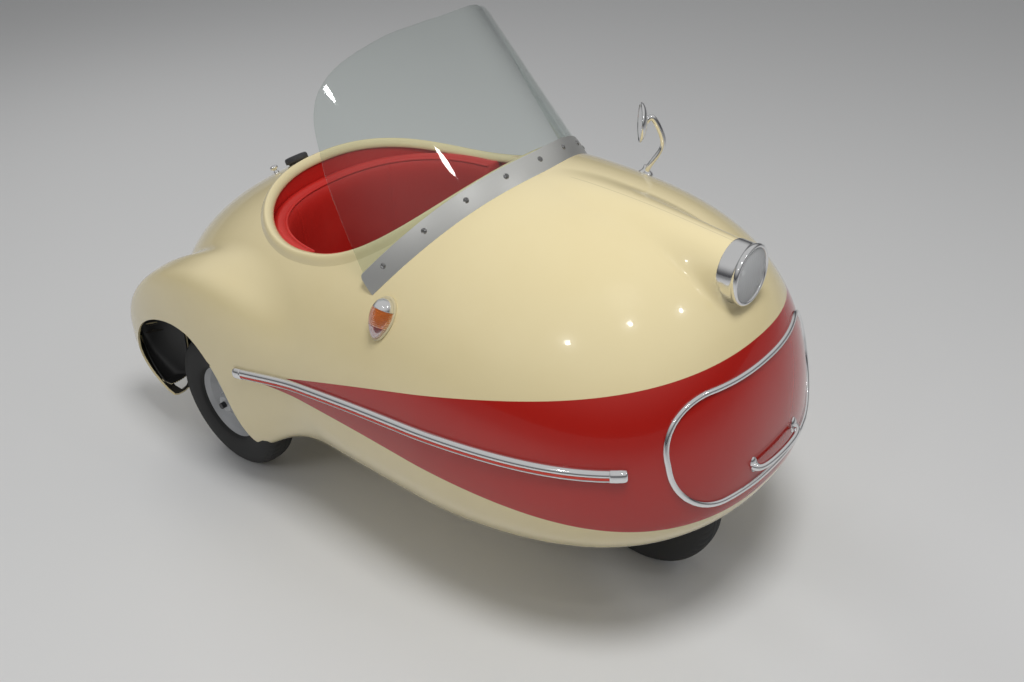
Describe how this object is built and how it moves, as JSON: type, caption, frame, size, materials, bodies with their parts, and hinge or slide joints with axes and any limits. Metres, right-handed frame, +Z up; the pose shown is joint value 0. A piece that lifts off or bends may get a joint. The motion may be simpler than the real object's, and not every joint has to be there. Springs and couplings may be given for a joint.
{
  "type": "three wheeled car",
  "caption": "Single seat open microcar with an egg shaped moulded body, one steered front wheel, two rear wheels under side pods, and a curved clear windscreen.",
  "frame": {"origin": "on the floor under the middle of the car's length and width", "axes": "+X to the driver's left, nose towards -Y, +Z up"},
  "size_m": [0.8918, 1.7128, 1.148],
  "materials": {
    "cream_paint": "glossy ivory moulding",
    "lower_paint": "glossy ivory and red moulding",
    "red_lining": "red leathercloth",
    "brushed": "brushed strip",
    "acrylic": "clear acrylic sheet",
    "chrome": "bright chrome",
    "insert_red": "red plastic strip",
    "lamp_glass": "fluted clear glass",
    "amber": "amber lens",
    "red_lens": "red lens",
    "pad_cream": "cream rubber pad",
    "mirror_glass": "mirror glass",
    "black_metal": "black enamel",
    "frame_black": "satin black enamel",
    "rubber_black": "black rubber",
    "tyre_rubber": "black tyre rubber",
    "wheel_grey": "silver grey enamel",
    "well_black": "matt black well liner",
    "board": "dark painted board",
    "alloy": "cast alloy"
  },
  "bodies": {
    "car": {"body_upper": "cream_paint", "body_lower": "lower_paint", "cockpit_lining": "red_lining", "windscreen_strip": "brushed", "windscreen": "acrylic", "side_trim_right": "chrome", "side_trim_left": "chrome", "trim_insert_right": "insert_red", "trim_insert_left": "insert_red", "nose_ring": "chrome", "nose_handle": "chrome", "headlight_barrel": "chrome", "headlight_reflector": "mirror_glass", "headlight_lens": "lamp_glass", "side_lamp_pads": "pad_cream", "side_lamp_caps": "chrome", "side_lamp_ambers": "amber", "side_lamp_reds": "red_lens", "mirror_stem": "chrome", "mirror_head": "chrome", "mirror_glass": "mirror_glass", "filler_cap": "black_metal", "deck_knob": "chrome", "tail_lamp": "red_lens", "strip_screws": "chrome", "frame": "frame_black", "floor_board": "board", "seat_base": "frame_black", "seat_cushion": "red_lining", "seat_back": "red_lining", "engine": "alloy", "body_mounts": "rubber_black", "wheel_wells": "well_black"},
    "steering": {"front_fork": "frame_black", "handlebar": "chrome", "bar_grips": "rubber_black"},
    "front_wheel_body": {"front_wheel": "wheel_grey", "front_tyre": "tyre_rubber"},
    "rear_right_wheel_body": {"rear_wheel_right": "wheel_grey", "rear_tyre_right": "tyre_rubber"},
    "rear_left_wheel_body": {"rear_wheel_left": "wheel_grey", "rear_tyre_left": "tyre_rubber"}
  },
  "joints": [
    {"name": "steer", "type": "hinge", "parent": "car", "child": "steering", "pos_m": [0, -0.36678, 0.44], "axis": [0, 0.5, 0.866], "range_deg": [-25, 25]},
    {"name": "front_spin", "type": "hinge", "parent": "steering", "child": "front_wheel_body", "pos_m": [0, -0.544, 0.185], "axis": [1, 0, 0], "continuous": true},
    {"name": "rear_right_spin", "type": "hinge", "parent": "car", "child": "rear_right_wheel_body", "pos_m": [-0.344, 0.477, 0.185], "axis": [1, 0, 0], "continuous": true},
    {"name": "rear_left_spin", "type": "hinge", "parent": "car", "child": "rear_left_wheel_body", "pos_m": [0.344, 0.477, 0.185], "axis": [1, 0, 0], "continuous": true}
  ]
}
